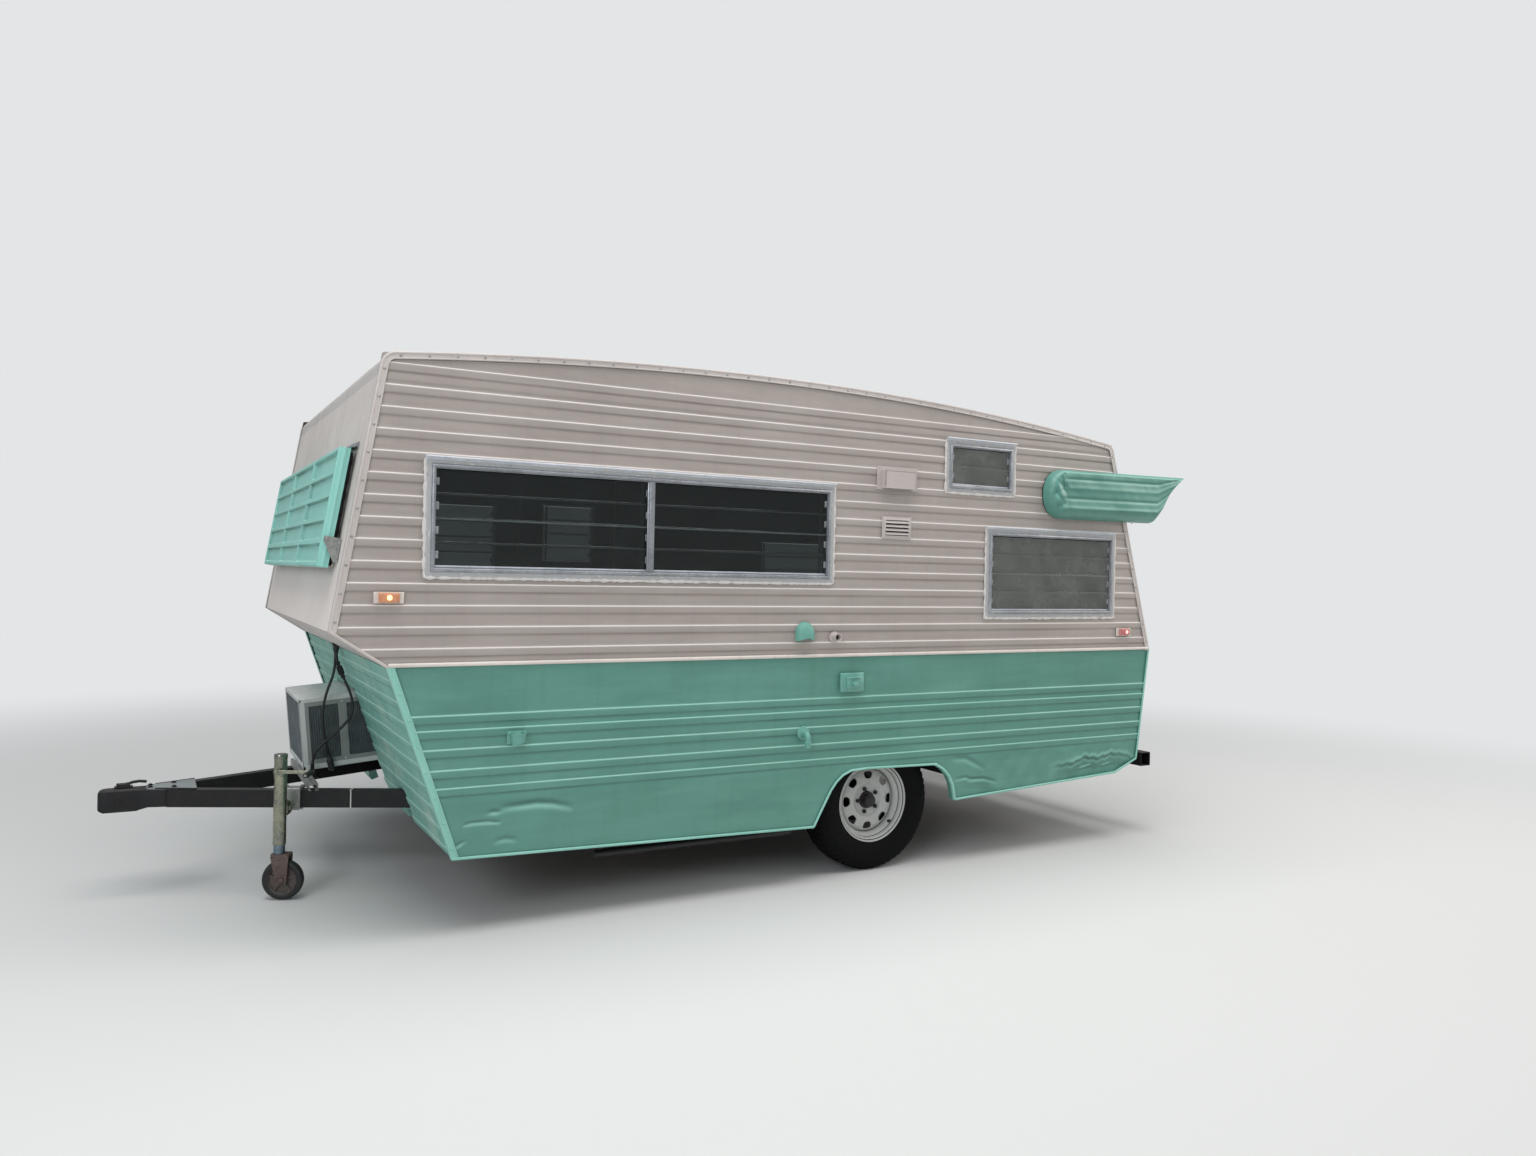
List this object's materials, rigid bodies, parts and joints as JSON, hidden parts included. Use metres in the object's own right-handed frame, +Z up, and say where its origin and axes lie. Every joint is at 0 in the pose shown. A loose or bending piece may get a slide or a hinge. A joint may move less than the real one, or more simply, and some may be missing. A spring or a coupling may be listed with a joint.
{
  "type": "travel trailer",
  "caption": "Small hard-sided travel trailer with ribbed two-tone siding, jalousie windows, a stone guard, rear side wings, an A-frame tongue and a swivel jack.",
  "frame": {"origin": "on the floor under the middle of the overall length, on the centre plane", "axes": "+X forward towards the coupler, +Y to the left (road side), +Z up"},
  "size_m": [5.301, 2.5626, 2.376],
  "materials": {
    "siding_cream": "ribbed aluminium sheet, rolled with pale beige house paint",
    "siding_green": "ribbed aluminium sheet, rolled with sea-green paint, dented",
    "trim_aluminium": "weathered mill-finish extrusion",
    "window_glass": "clear jalousie glass before a dark cabin",
    "frame_black": "black chassis paint, dusty",
    "zinc_steel": "zinc plated",
    "rusty_steel": "bare steel with surface rust",
    "tyre_rubber": "worn road tyre",
    "wheel_white": "white spoke wheel, chalky",
    "black_rubber": "cord sheath",
    "floor_ply": "plywood deck",
    "lamp_amber": "amber lens",
    "lamp_red": "red lens",
    "plate_blank": "blank plate",
    "cooler_grey": "grey enamel, faded",
    "cooler_dark": "dark coil fins behind louvres",
    "vent_plastic": "white plastic, yellowed"
  },
  "bodies": {
    "trailer": {"axle": "frame_black", "belt_trim": "siding_cream", "chassis_members": "frame_black", "chassis_rails": "frame_black", "cooler_case": "cooler_grey", "cooler_grille": "cooler_dark", "cord_fittings": "black_rubber", "coupler": "frame_black", "coupler_latch": "frame_black", "crossbar": "zinc_steel", "edge_mouldings": "trim_aluminium", "fittings_left": "siding_green", "floor": "floor_ply", "front_lower_panel": "siding_green", "front_upper_panel": "siding_cream", "harness": "black_rubber", "hinge_leaves": "trim_aluminium", "jack_bracket": "zinc_steel", "lead_plug": "black_rubber", "leaf_springs": "rusty_steel", "number_plate": "plate_blank", "power_lead": "black_rubber", "rear_bumper": "frame_black", "rear_lower_panel": "siding_green", "rear_upper_panel": "siding_cream", "roof_panel": "siding_cream", "roof_vent": "trim_aluminium", "side_lamps_amber": "lamp_amber", "side_lamps_red": "lamp_red", "side_lower_left": "siding_green", "side_lower_right": "siding_green", "side_upper_left": "siding_cream", "side_upper_right": "siding_cream", "skirt_mouldings": "siding_green", "soffit_panel": "siding_cream", "tail_lamps": "lamp_red", "tongue_rails": "frame_black", "vents_left": "siding_cream", "waste_pipe": "frame_black", "wheel_wells": "frame_black", "window_frames": "trim_aluminium", "window_panes": "window_glass", "wings": "siding_green"},
    "wheel_left": {"tyre_left": "tyre_rubber", "rim_left": "wheel_white", "hub_left": "frame_black"},
    "wheel_right": {"tyre_right": "tyre_rubber", "rim_right": "wheel_white", "hub_right": "frame_black"},
    "door": {"door": "siding_cream", "door_window_frame": "trim_aluminium", "door_panes": "window_glass", "door_handle": "trim_aluminium"},
    "stone_guard": {"stone_guard": "siding_green"},
    "roof_vent_lid": {"roof_vent_lid": "vent_plastic"},
    "jack": {"jack_outer_tube": "zinc_steel", "jack_crank": "zinc_steel"},
    "jack_leg": {"jack_inner_tube": "zinc_steel"},
    "jack_caster": {"jack_fork": "rusty_steel"},
    "jack_wheel": {"jack_wheel": "black_rubber"}
  },
  "joints": [
    {"name": "wheel_left_spin", "type": "hinge", "parent": "trailer", "child": "wheel_left", "pos_m": [-0.5895, 1.045, 0.33], "axis": [0, 1, 0], "continuous": true},
    {"name": "wheel_right_spin", "type": "hinge", "parent": "trailer", "child": "wheel_right", "pos_m": [-0.5895, -1.045, 0.33], "axis": [0, 1, 0], "continuous": true},
    {"name": "door_hinge", "type": "hinge", "parent": "trailer", "child": "door", "pos_m": [0.4915, -1.212, 1.29], "axis": [0, 0, 1], "range_deg": [0, 165]},
    {"name": "stone_guard_hinge", "type": "hinge", "parent": "trailer", "child": "stone_guard", "pos_m": [1.80862, 0, 1.88131], "axis": [0, -1, 0], "range_deg": [0, 75]},
    {"name": "roof_vent_hinge", "type": "hinge", "parent": "trailer", "child": "roof_vent_lid", "pos_m": [0.1615, 0, 2.342], "axis": [0, 1, 0], "range_deg": [0, 60]},
    {"name": "jack_swivel", "type": "hinge", "parent": "trailer", "child": "jack", "pos_m": [1.9775, 0.39357, 0.383], "axis": [-0.4226, -0.9063, 0], "range_deg": [0, 90]},
    {"name": "jack_extend", "type": "slide", "parent": "jack", "child": "jack_leg", "axis": [0, 0, -1], "range_m": [0, 0.25]},
    {"name": "jack_caster_turn", "type": "hinge", "parent": "jack_leg", "child": "jack_caster", "pos_m": [1.9775, 0.39357, 0.383], "axis": [0, 0, 1], "continuous": true},
    {"name": "jack_wheel_spin", "type": "hinge", "parent": "jack_caster", "child": "jack_wheel", "pos_m": [1.96119, 0.40118, 0.085], "axis": [0.4226, 0.9063, 0], "continuous": true}
  ]
}
